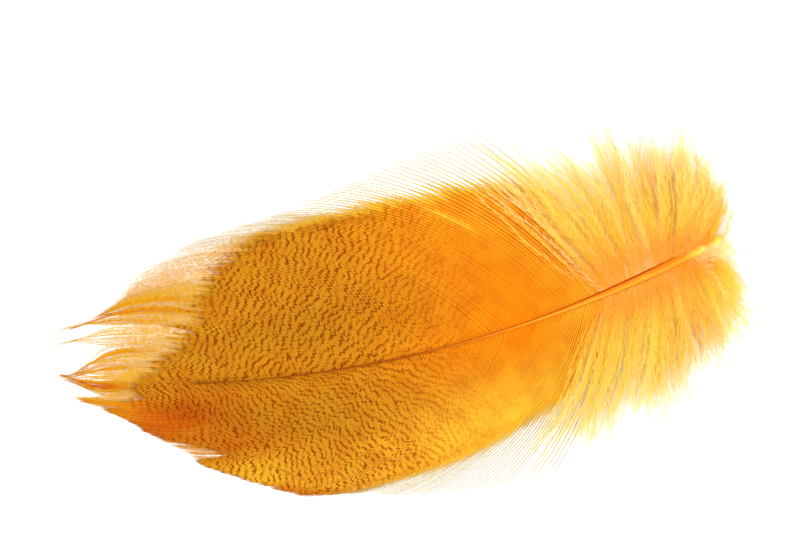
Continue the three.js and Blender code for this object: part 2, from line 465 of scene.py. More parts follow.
# %% The hooked part of each barb: station, share of the length
WEB_ENDS = np.array([
    (-57, 0.5), (-55, 0.56), (-52, 0.63), (-48, 0.7), (-44, 0.74), (-40, 0.75), (-36, 0.74), (-32, 0.71),
    (-28, 0.68), (-24, 0.62), (-20, 0.57), (-16, 0.51), (-12, 0.47), (-4, 0.43), (0, 0.46), (2, 0.5),
    (3.5, 0.6), (5, 0.82), (7, 1.0), (9, 1.08), (15.5, 1.08), (18, 0.84), (22, 0.78), (24.5, 1.0),
    (26, 1.08), (38, 1.08), (40, 1.03), (42, 0.92), (44, 0.81), (46, 0.7), (48, 0.6), (52, 0.44),
    (55, 0.36), (57, 0.3),
])
FRINGE_STARTS = 36.0


def web_end(station):
    return np.interp(station, WEB_ENDS[:, 0], WEB_ENDS[:, 1])


print("hooked share at the tip", web_end(0.0))

# %% [markdown]
# ## Splits in the web
# A feather that has been handled parts here and there, where two barbs have unhooked. A split runs along
# the barbs and closes again, or runs out at the edge. Cutting the mesh would leave stumps, so the barbs on
# both sides move apart a little instead, less the further they are. Each split is given by its station and
# where it starts and ends along the barbs. An end past 1 is one that runs out.

# %% Where the web has parted
SPLITS = [
    (54.6, 0.2, 1.2), (51.6, 0.12, 0.5), (46.6, 0.36, 0.62), (-49.5, 0.4, 0.7), (-36.0, 0.66, 0.92),
    (-27.0, 0.6, 0.8), (18.4, 0.82, 1.2), (20.3, 0.78, 1.2), (22.2, 0.74, 1.2), (27.2, 0.88, 1.2),
    (30.6, 0.9, 1.2), (34.0, 0.9, 1.2),
]
SPLIT_HALF_WIDTH = 0.2
CLOSED_SPLIT_SHARE = 0.16
SPLIT_REACH = 1.0
SPLIT_OPENS_OVER = 0.12
SPLIT_CLOSES_OVER = 0.05
BARED_REACH = 0.3


def part_web(station, along):
    """How far each point moves away from the splits, in mm of station, and how bared it is."""
    moved = np.zeros(np.broadcast(station, along).shape)
    bared = moved.copy()
    for middle, start, end in SPLITS:
        away = station - middle
        runs_out = end > 1.0
        opening = smooth(along, start, start + SPLIT_OPENS_OVER)
        opening = opening - smooth(along, end - SPLIT_OPENS_OVER, end + SPLIT_CLOSES_OVER)
        half_width = SPLIT_HALF_WIDTH * (1.0 if runs_out else CLOSED_SPLIT_SHARE)
        moved = moved + np.sign(away) * half_width * np.exp(-np.abs(away) / SPLIT_REACH) * opening
        bared = bared + opening * np.exp(-(away / BARED_REACH) ** 2) * (not runs_out)
    return moved, bared


print("splits", len(SPLITS))

# %% [markdown]
# ## How one side's barbs are laid
# On a real feather the barbs come first and the barbules hook onto them. It is the same here: the barbs of
# one side are laid once, and both the ribbons and the loose barbules are made from the same paths. Each barb
# starts from its arc, is drawn into its lock, parts at the splits, and then gets its own small faults in
# length, bend and height, because barbs of one length and spacing look like a comb.

# %% Length and bend of each barb
HAIR_STARTS = (24.0, 32.0)
HAIR_STOPS = (41.0, 47.0)
HAIR_EXTRA = 0.08
SHORTEST_VANE = 0.02
SHORTEST_TIP = 0.14
STRAY_SIZES = (0.015, 0.2)
HOOK_ALONG = (0.62, 1.02)
HOOK_SHARPNESS = 1.6
STRAY_ALONG = (0.55, 1.0)


def barb_lengths(stations, number, tip):
    """Lengths as shares of the guide's, least even at the tip. Hairs stand past part of the upper edge."""
    count = len(stations)
    shorter = (SHORTEST_VANE + SHORTEST_TIP * tip) * rng.random((count, 1)) ** 2
    hair = window(-stations, HAIR_STARTS, HAIR_STOPS)
    return tip_lock(number, LENGTH) - shorter + HAIR_EXTRA * hair[:, None] * rng.random((count, 1))


def barb_bend(settled, along, tip):
    """How far the hook and a stray turn push each point sideways, in mm."""
    locks = np.arange(-VANE_LOCKS // 2, VANE_LOCKS // 2 + 1)
    hook = np.interp(settled, lock_middle(locks), tip_lock(locks, HOOK))
    stray = rng.standard_normal((len(tip), 1)) * blend(*STRAY_SIZES, tip)
    return hook * smooth(along, *HOOK_ALONG) ** HOOK_SHARPNESS + stray * smooth(along, *STRAY_ALONG)


def sideways(paths):
    """Directions square to paths, in the plane of the table."""
    ahead = unit(np.gradient(paths, axis=1))
    return np.stack([-ahead[..., 1], ahead[..., 0]], axis=-1)


# %% Lay the barbs of a side
BARB_SPACING = 0.34
STATION_FAULT = 0.03
VANE_RINGS = 44
ROOT_OVERLAP = 0.17
LOCK_LIFT = 0.8
LIFT_TURN = 1.7
LIFT_ALONG = (0.72, 1.0)
ROOT_SINK = 0.04
VANE_RAISE = 0.14
RAISE_REACH = (0.0, 2.0)
UNEVEN_HEIGHT = 0.012
LEAST_HEIGHT = 0.1
WEB_FAULT = 0.05


def lay_side(side):
    steps = np.arange(int(VANE_STATION / BARB_SPACING))
    faults = rng.uniform(-STATION_FAULT, STATION_FAULT, len(steps))
    stations = side * (BARB_SPACING * (steps + 0.5) + faults)
    count = len(stations)
    number = lock_number(stations)[:, None]
    tip = at_tip(stations)[:, None]
    along = np.linspace(0.0, 1.0, VANE_RINGS)[None, :] * barb_lengths(stations, number, tip)
    drawn = lock_draw(stations[:, None], along)
    settled = blend(stations[:, None], lock_middle(number), drawn)
    settled = settled + part_web(stations[:, None], along)[0]
    paths = barb_points(settled, along)
    paths[..., :2] += sideways(paths) * barb_bend(settled, along, tip)[..., None]
    lift = LOCK_LIFT * (0.5 + 0.5 * np.sin(number * LIFT_TURN)) * tip * smooth(along, *LIFT_ALONG)
    reach = along * guide(stations)[2][:, None]
    paths[..., 2] += VANE_RAISE * smooth(reach, *RAISE_REACH) - ROOT_SINK
    paths[..., 2] += lift + UNEVEN_HEIGHT * rng.standard_normal((count, 1)) * along
    paths[..., 2] = np.maximum(paths[..., 2], LEAST_HEIGHT)
    paths[:, 0, 1] += side * ROOT_OVERLAP
    ends = web_end(stations)[:, None]
    ends = ends + rng.uniform(-WEB_FAULT, WEB_FAULT, (count, 1)) * blend(0.5, 1.0, tip)
    return {"stations": stations, "number": number, "along": along, "drawn": drawn, "paths": paths,
            "ends": ends, "own": rng.random((count, 1))}


upper_side = lay_side(-1)
lower_side = lay_side(1)
print("barbs on each side", len(upper_side["stations"]))

# %% [markdown]
# ## What colours the feather where
# The dye is one orange, but the feather under it was grey with dark bars, so the outer half is amber with
# brown bars and the inner half is clear orange. The lower edge and the down are yellow, where the dye is
# thin. A blush of red sits below the tip, with a fainter trail behind it, and part of the lower rim is red.
# A painted picture could hold all that, but it would blur up close. So each is a smooth field over the
# feather, kept as a number on every point of the mesh, and the nodes turn the numbers into dye.

# %% Patches, bands and streaks of colour, in mm, stations and shares of the barbs
BLUSH_PLACE = (-31.2, -8.8)
BLUSH_SIZE = (8.6, 3.3)
TRAIL_PLACE = (-23.6, -13.6)
TRAIL_SIZE = (5.4, 2.0)
TRAIL_RED = 0.5
RIM_STARTS = (33.0, 38.0)
RIM_STOPS = (45.0, 48.0)
RIM_ALONG = (0.84, 0.92)
RIM_RED = 0.6
STREAKS_START = (1.0, 4.0)
STREAKS_STOP = (13.0, 17.0)
STREAKS_ALONG = (0.5, 0.85)


def patch(x, y, place, size):
    """1 in the middle of an oval patch, and less outwards."""
    return np.exp(-((x - place[0]) / size[0]) ** 2 - ((y - place[1]) / size[1]) ** 2)


def red_field(x, y, station, along):
    """The blush, the trail behind it and the red rim of the lower edge."""
    rim = window(station, RIM_STARTS, RIM_STOPS) * smooth(along, *RIM_ALONG)
    trail = TRAIL_RED * patch(x, y, TRAIL_PLACE, TRAIL_SIZE)
    red = patch(x, y, BLUSH_PLACE, BLUSH_SIZE) + trail + RIM_RED * rim
    return np.clip(red, 0.0, 1.0)


def streak_field(station, along):
    """Pale streaks below the tip, where barbs have come loose beside each other."""
    return window(station, STREAKS_START, STREAKS_STOP) * smooth(along, *STREAKS_ALONG)


# %% Where the dye is thin and yellow
SUN_ALONG_X = (-18.0, 14.0)
SUN_BELOW_SHAFT = (-1.0, 5.0)
OFF_SHAFT = (0.5, 12.0)
LOWER_EDGE_BELOW = (9.0, 16.0)
LOWER_EDGE_X = (-26.0, -16.0)
TURNS_TO_DOWN = (44.0, 56.0)


def yellow_field(x, below, station, along):
    """Below is the distance below the shaft, in mm. Bared splits are yellow too."""
    sun = smooth(x, *SUN_ALONG_X) * smooth(np.abs(below), *OFF_SHAFT)
    sun = sun * blend(0.05, 1.0, smooth(below, *SUN_BELOW_SHAFT))
    lower_edge = 0.45 * smooth(below, *LOWER_EDGE_BELOW) * smooth(x, *LOWER_EDGE_X)
    to_down = 0.7 * smooth(np.abs(station), *TURNS_TO_DOWN) * blend(0.45, 1.0, station > 0.0)
    return np.maximum.reduce([sun, lower_edge, to_down, part_web(station, along)[1]])


# %% All fields of colour
LOCK_BAND = 0.85
WARM_ALONG = (0.4, 0.7)
FADED_PLACE = (-24.0, -18.2)
FADED_SIZE = (7.0, 2.4)
FADED_STRENGTH = 0.6
# In the streaks only barbs whose own random number is above this turn pale.
STREAKED_ABOVE = 0.6
BARS_FADE_X = (-8.0, 18.0)
CLEARS_X = (-12.0, 20.0)
STREAKS_HIDE_BARS = 0.75
FREE_HIDES_BARS = 0.85
WARM_KEEPS_BARS = 0.45
STREAKS_LOOSE = 0.7
TAN_REACH = (0.5, 6.0)
LESS_TAN = 0.8
LESS_TAN_STATIONS = (45.0, 50.0)


def colour_fields(points, station, along, ends, number, own):
    """Named numbers from 0 to 1 for points of barbs. All arrays have the points' shape."""
    x, y = points[..., 0], points[..., 1]
    past_web = np.clip(along - ends, 0.0, 1.0) * guide(station)[2]
    fringe = smooth(np.abs(station), FRINGE_STARTS - 6.0, FRINGE_STARTS + 4.0)
    streaks = streak_field(station, along)
    aside = (station - lock_middle(number)) / LOCK_BAND
    warm = tip_lock(number, WARMTH) * smooth(along, *WARM_ALONG) * np.exp(-aside ** 2)
    bars_lost = (FREE_HIDES_BARS - WARM_KEEPS_BARS * warm) * smooth(past_web, -0.4, 2.0)
    loose = smooth(past_web, -0.2, 1.6) + STREAKS_LOOSE * streaks * (own > STREAKED_ABOVE)
    loose = loose + FADED_STRENGTH * patch(x, y, FADED_PLACE, FADED_SIZE)
    less_tan = LESS_TAN * smooth(-station, *LESS_TAN_STATIONS)
    fields = {
        "barring": (1.0 - smooth(x, *BARS_FADE_X)) * (1.0 - STREAKS_HIDE_BARS * streaks) * (1.0 - bars_lost),
        "clear": smooth(x, *CLEARS_X),
        "yellow": yellow_field(x, shaft_bow(x) - y, station, along),
        "blush": red_field(x, y, station, along),
        "loose": np.clip(loose, 0.0, 1.0),
        "tan": fringe * smooth(past_web, *TAN_REACH) * (1.0 - less_tan),
        "warm": warm,
        "own": own,
    }
    return {key: np.broadcast_to(field, x.shape).astype(float) for key, field in fields.items()}


# %% [markdown]
# ## The vane's finish
# The bars of such a feather are wavy lines across the barbs, with forks and islands. A wave texture gives
# rings or straight lines that never fork. Gabor noise draws just what is needed: stripes of one width that
# wander and fork. It is read at the middle line of each barb, and each barb shifts it a little, so every
# barb carries its own short dashes, as real ones do.

# %% Dyes of the vane
amber = colour(225, 147, 23)
orange = colour(255, 131, 0, 1.25)
yellow = colour(255, 190, 50, 1.3)
red_dye = colour(205, 78, 6)
# Brown of the bars. It is also used as painted shade at the barbs' edges.
bar_and_shade_brown = colour(134, 50, 0)
loose_gold = colour(248, 192, 44, 1.25)
loose_tan = colour(214, 182, 106, 1.1)
lock_orange = colour(232, 112, 8)

# %% Bars of the vane
BAR_PERIOD = 0.93
BAR_PATCH = 1.8
BAR_STRAIGHTNESS = 0.72
BAR_SIDE = (0.27, 0.08)
BREAKS_PER_MM = 1.2
BREAKS = (0.36, 0.58, 0.3, 1.0)

vane = Finish("barred_vane", roughness=0.6, shine=0.02)
bars = vane.add("ShaderNodeTexGabor", {
    "Vector": vane.place("bar_place"),
    "Scale": 1.0 / BAR_PATCH,
    "Frequency": BAR_PATCH / BAR_PERIOD,
    "Anisotropy": BAR_STRAIGHTNESS,
    "Orientation": vane.value("bar_turn"),
}, gabor_type="2D").outputs["Phase"]
off_bar = vane.maths("ABSOLUTE", vane.maths("SUBTRACT", bars, 0.5))
breaks = vane.ramp(vane.noise(vane.place("bar_place"), BREAKS_PER_MM), *BREAKS)
edge = vane.ramp(vane.value("across"), 0.3, 1.0)
dash = vane.times(vane.ramp(off_bar, *BAR_SIDE), breaks, vane.ramp(edge, 0.0, 1.0, 1.0, 0.3))
print("bars in 10 mm", round(10.0 / BAR_PERIOD, 1))

# %% Dyes, a painted highlight and painted shade laid over each other on the vane
MOTTLE_PER_MM = 0.3

own = vane.value("own")
loose = vane.value("loose")
mottle = vane.ramp(vane.noise(vane.place("bar_place"), MOTTLE_PER_MM), 0.35, 0.7)
rib_highlight = vane.ramp(vane.value("across"), 0.3, 0.0)
vane.paint(amber, [
    (vane.value("clear"), orange),
    (vane.value("yellow"), yellow),
    (vane.times(mottle, 0.32), red_dye),
    # Painted highlight: the middle of each barb, over its rib, is lighter yellow, more on some barbs than on
    # others.
    (vane.times(rib_highlight, vane.ramp(own, 0.0, 1.0, 0.1, 0.5)), yellow),
    (vane.times(own, 0.09), bar_and_shade_brown),
    # Painted shade: each barb is darker towards its edges, where it meets the next barb, and less in the
    # clear zone.
    (vane.times(edge, vane.ramp(vane.value("clear"), 0.0, 1.0, 0.16, 0.02)), bar_and_shade_brown),
    (vane.times(loose, 0.9), loose_gold),
    (vane.times(loose, vane.ramp(own, 0.55, 1.0, 0.0, 0.2)), bar_and_shade_brown),
    (vane.times(vane.value("blush"), 0.85), red_dye),
    (vane.times(vane.value("tan"), 0.85), loose_tan),
    (vane.value("warm"), lock_orange),
    (vane.times(dash, vane.value("barring")), bar_and_shade_brown),
])

# %% [markdown]
# ## The vane's barbs
# On each side 167 barbs grow, 0.34 mm apart along the shaft. A round fibre for each would leave gaps, and a
# real one has none, because its barbules fill them. So each is a thin closed ribbon: a raised rib in the
# middle and a web on both sides that just reaches the next barb. Past the web's end the ribbon narrows to a
# fibre. The ribbons are tipped a little, so they lie like shingles.

# %% How wide a barb is
FIBRE_HALF_WIDTH = 0.042
LEAST_WEB_HALF_WIDTH = 0.07
ROOT_HALF_WIDTH = 0.55 * BARB_SPACING
OUTER_EDGE = (FRINGE_STARTS, FRINGE_STARTS + 8.0)
CROWD_STARTS = (20.0, 28.0)
CROWD_STOPS = (40.0, 46.0)
WEB_OVERLAP = 0.05
RELEASE_SHARES = (0.06, 0.16)
WARM_HOLDS = 0.9
GAP_SHARES = (0.62, 0.8)
DRAWN_NARROWER = 0.7
FIBRE_TAPER = 0.5
THICKER_OUTWARD = 0.8
THINNER_IN_CROWD = 0.3
POINT_TAPER = 0.8
POINT_STARTS = 0.95


def barb_gap(station, along):
    """Distance to the next barb, square to the barb, in mm."""
    step = 0.5 * BARB_SPACING
    apart = barb_points(station + step, along) - barb_points(station - step, along)
    ahead = unit(np.gradient(barb_points(station, along), axis=1))
    square = apart - (apart * ahead).sum(-1, keepdims=True) * ahead
    return np.linalg.norm(square[..., :2], axis=-1)


def free_share(station, along, ends, warm):
    """0 where a barb is webbed, 1 where it is a free fibre. Warm locks keep their web."""
    turn = blend(*RELEASE_SHARES, smooth(np.abs(station), *OUTER_EDGE))
    return smooth(along, ends - WEB_OVERLAP, ends + turn) * (1.0 - WARM_HOLDS * smooth(warm, 0.1, 0.4))


def barb_half_width(station, along, drawn, free):
    """The web reaches the next barb, free fibres are fine, and both narrow at the end."""
    half_gap = blend(*GAP_SHARES, smooth(along, 0.5, 1.0)) * barb_gap(station, along)
    web = np.maximum(half_gap * (1.0 - DRAWN_NARROWER * drawn), LEAST_WEB_HALF_WIDTH)
    crowded = window(-station, CROWD_STARTS, CROWD_STOPS)
    thicker = 1.0 + THICKER_OUTWARD * smooth(np.abs(station), *OUTER_EDGE)
    fibre = FIBRE_HALF_WIDTH * (1.0 - FIBRE_TAPER * along) * thicker * (1.0 - THINNER_IN_CROWD * crowded)
    taper = 1.0 - POINT_TAPER * smooth(along / along[:, -1:], POINT_STARTS, 1.0)
    half_width = blend(web, fibre, free) * taper
    half_width[:, 0] = ROOT_HALF_WIDTH
    return half_width


# %% Where a barb reads its bars
BAR_JITTER = 0.21
BAR_SHUFFLE = 7.31
LOWER_BARS_CLOSER = 0.12


def bar_values(paths, own):
    """Where each point reads the bars, and the way its barb runs there."""
    ahead = unit(np.gradient(paths, axis=1))
    place = paths + BAR_JITTER * (2.0 * (own * BAR_SHUFFLE % 1.0) - 1.0)[..., None] * ahead
    below = shaft_bow(paths[..., 0]) - paths[..., 1]
    closer = 1.0 + LOWER_BARS_CLOSER * smooth(below, -1.0, 2.0)[..., None]
    return place * closer * [1.0, 1.0, 0.0], np.arctan2(ahead[..., 1], ahead[..., 0])


# %% Make the barbs of both vanes
RIB_PROFILE = np.array([(-1, 0.0), (-0.3, 0.45), (0.0, 1.0), (0.3, 0.45), (1, 0.0), (0.0, -0.8)])
RIB_HALF_HEIGHTS = (0.038, 0.03)
FLATTER_TO_DOWN = (28.0, 44.0)
FLATTER = 0.4
SHINGLE_TILT = 0.03
FREE_DARKER = 0.3
WARM_DARKER = 0.8


def make_vane(name, laid, side):
    paths, along = laid["paths"], laid["along"]
    station = laid["stations"][:, None] + 0.0 * along
    fields = colour_fields(paths, station, along, laid["ends"], laid["number"], laid["own"])
    free = free_share(station, along, laid["ends"], fields["warm"])
    half_width = barb_half_width(station, along, laid["drawn"], free)
    flatter = 1.0 - FLATTER * smooth(np.abs(station), *FLATTER_TO_DOWN)
    half_height = blend(*RIB_HALF_HEIGHTS, along) * flatter
    points = sweep(paths, half_width, half_height, RIB_PROFILE, tilt=SHINGLE_TILT * side)
    fields["loose"] *= 1.0 - FREE_DARKER * free * (1.0 - smooth(np.abs(station), *OUTER_EDGE))
    fields["loose"] *= 1.0 - WARM_DARKER * fields["warm"]
    bar_place, fields["bar_turn"] = bar_values(paths, laid["own"])
    sides = len(RIB_PROFILE)
    values = {key: np.repeat(field[..., None], sides, axis=2).ravel() for key, field in fields.items()}
    values["across"] = np.broadcast_to(np.abs(RIB_PROFILE[:, 0]), points.shape[:3]).ravel()
    values["bar_place"] = np.broadcast_to(bar_place[:, :, None], points.shape).reshape(-1, 3)
    count, rings = along.shape
    make_piece(name, points, tube_quads(count, rings, sides), tube_map(count, rings, sides), values,
               vane.material)


make_vane("vane_upper", upper_side, -1)
make_vane("vane_lower", lower_side, 1)

# %% [markdown]
# ## The shaft and the quill
# The shaft is one rod: 1.4 mm thick and clear at the quill, then tapering to a fine brown line that ends
# inside the vane. A cone would do for a straight one, but this rod bows, so it is swept as a tube along the
# line that the barbs grow from. Painted shade gives it a dark red line along its upper edge, where the barbs
# grow, and a fainter one along its lower edge. The quill's end is rounded, as on a feather that has been
# pulled.

# %% Dyes, marks and painted shade of the shaft
quill_gold = colour(255, 230, 92, 1.3)
shaft_orange = colour(248, 130, 14, 1.15)
shaft_light = colour(255, 163, 40, 1.15)
shaft_brown = colour(180, 80, 4)
# Red of the painted shade along the rod's edges.
shade_red = colour(190, 74, 6)
STREAKS_PER_MM = 1.6

horn = Finish("horn_shaft", roughness=0.55, shine=0.05)
horn.shader.inputs["Coat Weight"].default_value = 0.03
horn.shader.inputs["Coat Roughness"].default_value = 0.25
across_shaft = horn.value("across_shaft")
streak = horn.noise(horn.place("streak_place"), STREAKS_PER_MM, 4.0)
shade_lines = horn.value("shade_lines")
horn.paint(shaft_orange, [
    (horn.ramp(horn.maths("ADD", across_shaft, streak), 0.75, 0.2), shaft_light),
    (horn.value("quill"), quill_gold),
    # Painted shade: a dark red line along the rod's upper edge, and a fainter one along its lower edge.
    (horn.times(horn.ramp(across_shaft, 0.5, 0.78), shade_lines), shade_red),
    (horn.times(horn.ramp(across_shaft, -0.72, -0.95, 0.0, 0.6), shade_lines), shade_red),
    (horn.value("fine"), shaft_brown),
    (horn.times(streak, horn.value("worn")), shaft_brown),
])

# %% How thick the shaft is: X and half width in mm
SHAFT_WIDTHS = np.array([
    (-27.4, 0.03), (-18.7, 0.06), (-16, 0.09), (-5, 0.13), (8, 0.15), (14, 0.17), (19, 0.23),
    (24, 0.36), (29, 0.52), (34, 0.66), (39, 0.7), (43.5, 0.68), (45, 0.6),
])
SHAFT_END_X = -27.4
SHAFT_RAISE = 0.12
SHAFT_FLATNESS = 0.92
ROUNDING_START_X = 44.3
ROUNDING_RUN = 0.72
BLUNTNESS = 0.02
SHAFT_KEEL = 0.11
KEEL_ENDS_X = (20.0, 36.0)
KEEL_GROWS_TO_X = -20.0


def shaft_half_width(x):
    past = np.clip((x - ROUNDING_START_X) / ROUNDING_RUN, 0.0, 1.0)
    rounding = np.sqrt(np.clip(1.0 - past ** 2, BLUNTNESS, 1.0))
    return np.interp(x, SHAFT_WIDTHS[:, 0], SHAFT_WIDTHS[:, 1]) * rounding


def shaft_keel(x):
    """Extra depth, so that the shaft stands out as a ridge on the underside too."""
    return SHAFT_KEEL * (1.0 - smooth(x, *KEEL_ENDS_X)) * smooth(x, SHAFT_END_X, KEEL_GROWS_TO_X)


print("quill's thickness in mm", 2.0 * SHAFT_WIDTHS[:, 1].max())

# %% Make the shaft
SHAFT_RINGS = 240
SHAFT_SIDES = 24
QUILL_X = (39.0, 42.5)
SHADE_LINES_STOP_X = (33.0, 43.5)
FINE_STOPS_X = (-2.0, 20.0)
WORN_X = (43.8, 45.0)


def make_shaft():
    x = np.linspace(QUILL_END_X, SHAFT_END_X, SHAFT_RINGS)
    line = np.stack([x, shaft_bow(x), shaft_height(x) + SHAFT_RAISE], axis=-1)[None]
    half = shaft_half_width(x)[None]
    angle = np.linspace(0.0, 2.0 * np.pi, SHAFT_SIDES, endpoint=False)
    profile = np.stack([np.cos(angle), np.sin(angle)], axis=-1)
    points = sweep(line, half, half * SHAFT_FLATNESS + shaft_keel(x)[None], profile)
    fields = {
        "across_shaft": -np.cos(angle)[None, None],
        "quill": smooth(x, *QUILL_X)[None, :, None],
        "shade_lines": (1.0 - smooth(x, *SHADE_LINES_STOP_X))[None, :, None],
        "fine": (1.0 - smooth(x, *FINE_STOPS_X))[None, :, None],
        "worn": (0.6 * smooth(x, *WORN_X))[None, :, None],
    }
    values = {key: np.broadcast_to(field, points.shape[:3]).ravel() for key, field in fields.items()}
    values["streak_place"] = (points * [0.2, 1.0, 1.0]).reshape(-1, 3)
    make_piece("shaft", points, tube_quads(1, SHAFT_RINGS, SHAFT_SIDES),
               tube_map(1, SHAFT_RINGS, SHAFT_SIDES), values, horn.material)


make_shaft()

# %% [markdown]
# ## Strips
# A barbule is a thin bent strip that leaves its barb at a slant and curls forward. Loose barbs and down
# carry thousands. Round ones would need three times the triangles and look no different, so each is a flat
# strip, and all are made from arrays. Their flat places lie across their barb's band.

# %% Strips that grow from barbs
STRIP_END_SHARE = 0.35
STRIP_TWIST = 0.3


def path_at(paths, barb, share):
    """Point, forward direction and sideways direction on a barb's path at a share of it."""
    rings = paths.shape[1]
    place = np.clip(share, 0.0, 1.0) * (rings - 1)
    low = np.minimum(place.astype(int), rings - 2)
    here = blend(paths[barb, low], paths[barb, low + 1], (place - low)[:, None])
    ahead = unit(paths[barb, low + 1] - paths[barb, low])
    return here, ahead, unit(np.cross(UP, ahead))


def either_side(total, spread):
    """Turns round the barb: half the strips to each side, and a little above or below it."""
    return np.where(rng.random(total) < 0.5, 0.0, np.pi) + rng.normal(0.0, spread, total)


def grow_strips(root, ahead, side, steps, slant, roll, length, width, curl):
    """Bent strips. Slant is the angle off the barb and roll turns it round the barb, in radians."""
    top = np.cross(ahead, side)
    outward = side * np.cos(roll)[:, None] + top * np.sin(roll)[:, None]
    way = ahead * np.cos(slant)[:, None] + outward * np.sin(slant)[:, None]
    flat = unit(np.cross(UP + STRIP_TWIST * rng.standard_normal(way.shape), way))
    t = np.linspace(0.0, 1.0, steps)[None, :, None]
    bent = way[:, None] * t + (ahead * curl[:, None])[:, None] * t * t
    line = root[:, None] + length[:, None, None] * bent
    half = 0.5 * width[:, None, None] * (1.0 - (1.0 - STRIP_END_SHARE) * t)
    return np.stack([line + flat[:, None] * half, line - flat[:, None] * half], axis=2)


# %% Flat places of strips
STRIP_HALF_MAP = 0.00125


def strip_map(barb, share, barbs, steps, start=0.0):
    """Each strip lies across its barb's band, from a start to the band's far side."""
    step = (1.0 - start) / (steps - 1)
    low = (barb[:, None] + start + step * np.arange(steps - 1)) / barbs
    high = low + step / barbs
    left = share[:, None] - STRIP_HALF_MAP + 0 * low
    right = share[:, None] + STRIP_HALF_MAP + 0 * low
    corners = [(left, low), (right, low), (right, high), (left, high)]
    return np.stack([np.stack(corner, axis=-1) for corner in corners], axis=-2).reshape(-1, 2)


# %% [markdown]
# ## Loose barbules
# Where a barb is free, its barbules no longer hook and stand off it as a sparse fringe. They make the pale
# film at the tip. A thin sheet would look like paper there, so each barbule is made. Towards the barb's end
# they grow shorter. Along the fringe of both edges they also soon stop, so the barb goes on as a bare fibre.

# %% Which barbs carry loose barbules, and where
BARBULE_SPACING = 0.1
FRINGE_REACH = 7.0
FRINGE_FADES = (3.0, 5.0)
FADES_WIDEN = (42.0, 50.0)
THINNED = 0.6
THINNED_STATIONS = (21.0, 28.0)
DENSER = 1.1
DENSER_STATIONS = (38.0, 47.0)
LAST_SHARE = 0.985


def place_barbules(stations, ends, length, fringe):
    """Barb and share along it of each loose barbule. They thin out along the fringe."""
    reach = blend((1.0 - ends) * length, FRINGE_REACH, fringe)
    start = ends - WEB_OVERLAP
    thinned = THINNED * smooth(-stations, *THINNED_STATIONS) * (1.0 - fringe)
    dense = 1.0 - thinned + DENSER * smooth(np.abs(stations), *DENSER_STATIONS)
    count = 2.0 * dense * np.minimum(reach, (0.99 - start) * length) / BARBULE_SPACING
    barb = np.repeat(np.arange(len(stations)), np.maximum(count, 0).astype(int))
    chance = rng.random(len(barb))
    fade = (blend(*FRINGE_FADES, smooth(np.abs(stations), *FADES_WIDEN)) / length)[barb]
    away = blend(chance * (reach / length)[barb], -np.log(1.0 - 0.97 * chance) * fade, fringe[barb])
    share = start[barb] + away
    keep = share < LAST_SHARE
    return barb[keep], share[keep]


# %% Make the loose barbules
BARBULE_STEPS = 2
BARBULE_WIDTH = 0.026
SLANTS = (24.0, 36.0)
TIP_BARBULES = (0.55, 0.2)
TIP_BARBULE_GROWTH = 1.15
FRINGE_BARBULES = (0.66, 0.22)
FRINGE_SHORTENS_OVER = 5.0
SHORTER_IN_LOCK = 0.75
RIB_TO_WEB = 0.3
STRIP_LEAST_HEIGHT = 0.02


def make_loose_barbules(name, laid):
    stations, ends, number = laid["stations"], laid["ends"][:, 0], laid["number"][:, 0]
    length = guide(stations)[2]
    fringe = smooth(np.abs(stations), FRINGE_STARTS - 4.0, FRINGE_STARTS + 4.0)
    barb, share = place_barbules(stations, ends, length, fringe)
    total = len(barb)
    slant = np.radians(blend(*SLANTS, fringe[barb]) * rng.uniform(0.75, 1.25, total))
    roll = either_side(total, 0.2)
    past_web = (share - ends[barb]) * length[barb]
    at_tips = TIP_BARBULE_GROWTH * blend(*TIP_BARBULES, smooth(share, 0.55, 0.95))
    at_fringe = blend(*FRINGE_BARBULES, smooth(past_web, 0.0, FRINGE_SHORTENS_OVER))
    size = blend(at_tips, at_fringe, fringe[barb]) * rng.uniform(0.7, 1.15, total)
    size = size * (1.0 - SHORTER_IN_LOCK * lock_draw(stations[barb], share))
    here, ahead, side = path_at(laid["paths"], barb, share)
    points = grow_strips(here, ahead, side, BARBULE_STEPS, slant, roll, size,
                         np.full(total, BARBULE_WIDTH), rng.uniform(0.0, 0.3, total))
    points[..., 2] = np.maximum(points[..., 2], STRIP_LEAST_HEIGHT)
    fields = colour_fields(here, stations[barb], share, ends[barb], number[barb], laid["own"][barb, 0])
    fields["bar_turn"] = np.arctan2(ahead[:, 1], ahead[:, 0])
    fields["across"] = np.full(total, RIB_TO_WEB)
    values = {key: np.repeat(field, BARBULE_STEPS * 2) for key, field in fields.items()}
    values["bar_place"] = np.repeat(here * [1.0, 1.0, 0.0], BARBULE_STEPS * 2, axis=0)
    make_piece(name, points, strip_quads(total, BARBULE_STEPS),
               strip_map(barb, share, len(stations), BARBULE_STEPS), values, vane.material)


make_loose_barbules("loose_barbules_upper", upper_side)
make_loose_barbules("loose_barbules_lower", lower_side)

# %% [markdown]
# ## The down
# Beside the quill the barbs never hook. They are soft, wavy and fine, with long barbules that stand off all
# round, and they cling together in wisps. Particle hair would be the quick way, but it isn't mesh. So the
# wisps are laid as the barbs are, on the solid's own arcs, and fill its tufts: they keep the tufts' roots and
# reach, and lie a millimetre lower at the top. Some wisps lie low and straight as a bed, so that less of the
# table shows between the others.

# %% Down finish
down_orange = colour(255, 166, 14, 2.0)
down_gold = colour(255, 214, 62, 2.0)
down_yellow = colour(255, 230, 112, 2.0)
down_pale = colour(255, 244, 178, 2.0)

